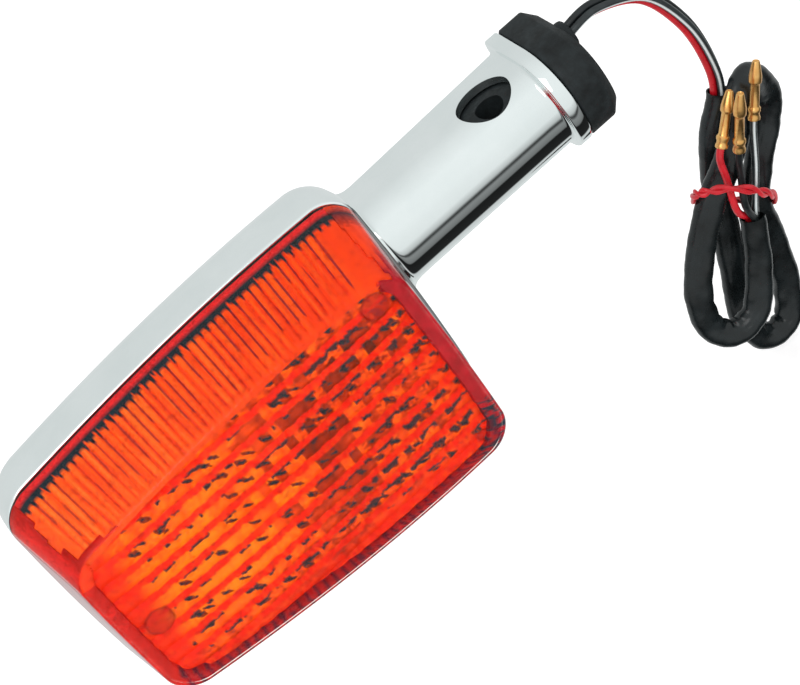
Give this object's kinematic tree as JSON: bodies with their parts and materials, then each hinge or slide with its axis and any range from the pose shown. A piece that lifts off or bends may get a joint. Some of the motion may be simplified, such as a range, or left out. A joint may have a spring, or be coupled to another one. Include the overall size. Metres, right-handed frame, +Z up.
{
  "type": "turn signal indicator",
  "caption": "Motorcycle turn signal: amber ribbed lens in a chrome housing on a hollow chrome stem, flexing on a rubber damper, with sleeved wiring and bullet terminals.",
  "frame": {"origin": "on the rubber damper's outer end face, level with the mounting bolt's axis, about 1.4 mm from the middle of the face", "axes": "+X along the stem towards the vehicle, -Y forward out of the lens, +Z up"},
  "size_m": [0.2206, 0.0582, 0.1557],
  "materials": {
    "chrome": "polished",
    "amber_lens": "clear moulded",
    "rubber": "matte",
    "mirror": "polished",
    "steel": "zinc plated",
    "phenolic": "matte",
    "brass": "satin",
    "clear_glass": "clear",
    "tungsten": "dull",
    "red_pvc": "satin",
    "black_pvc": "satin",
    "tracer_pvc": "satin"
  },
  "bodies": {
    "lamp": {"housing": "chrome", "lens": "amber_lens", "lens_gasket": "rubber", "reflector": "mirror", "lens_screw_upper": "steel", "lens_screw_lower": "steel", "lens_screw_washer_upper": "phenolic", "lens_screw_washer_lower": "phenolic", "socket_shell": "steel", "socket_insulator": "phenolic", "contact_spring": "steel", "stem": "chrome", "stem_screw_upper": "steel", "stem_screw_lower": "steel", "lead_red": "red_pvc", "lead_black": "black_pvc", "lead_black_white": "tracer_pvc"},
    "contacts": {"contact_disc": "phenolic", "contact_turn": "brass", "contact_running": "brass"},
    "bulb": {"bulb_base": "brass", "bulb_glass": "clear_glass", "bulb_filament_turn": "tungsten", "bulb_filament_running": "tungsten"},
    "damper": {"rubber_damper": "rubber", "mount_spacer": "steel", "wire_red": "red_pvc", "wire_black": "black_pvc", "wire_black_white": "tracer_pvc", "wire_sleeve": "black_pvc", "terminal_red": "brass", "terminal_black": "brass", "terminal_black_white": "brass", "bundle_band": "red_pvc"}
  },
  "joints": [
    {"name": "damper_flex", "type": "hinge", "parent": "damper", "child": "lamp", "pos_m": [-0.0261, 0, 0], "axis": [0, 0, 1], "range_deg": [-8, 8], "stiffness_Nm_per_rad": 3, "deforming": ["rubber_damper"]},
    {"name": "bulb_push", "type": "slide", "parent": "lamp", "child": "contacts", "axis": [1, 0, 0], "range_m": [0, 0.0024], "stiffness_N_per_m": 900, "deforming": ["contact_spring"]},
    {"name": "bulb_turn", "type": "hinge", "parent": "contacts", "child": "bulb", "pos_m": [-0.0909, -0.011, -0.002], "axis": [1, 0, 0], "range_deg": [0, 17]}
  ]
}
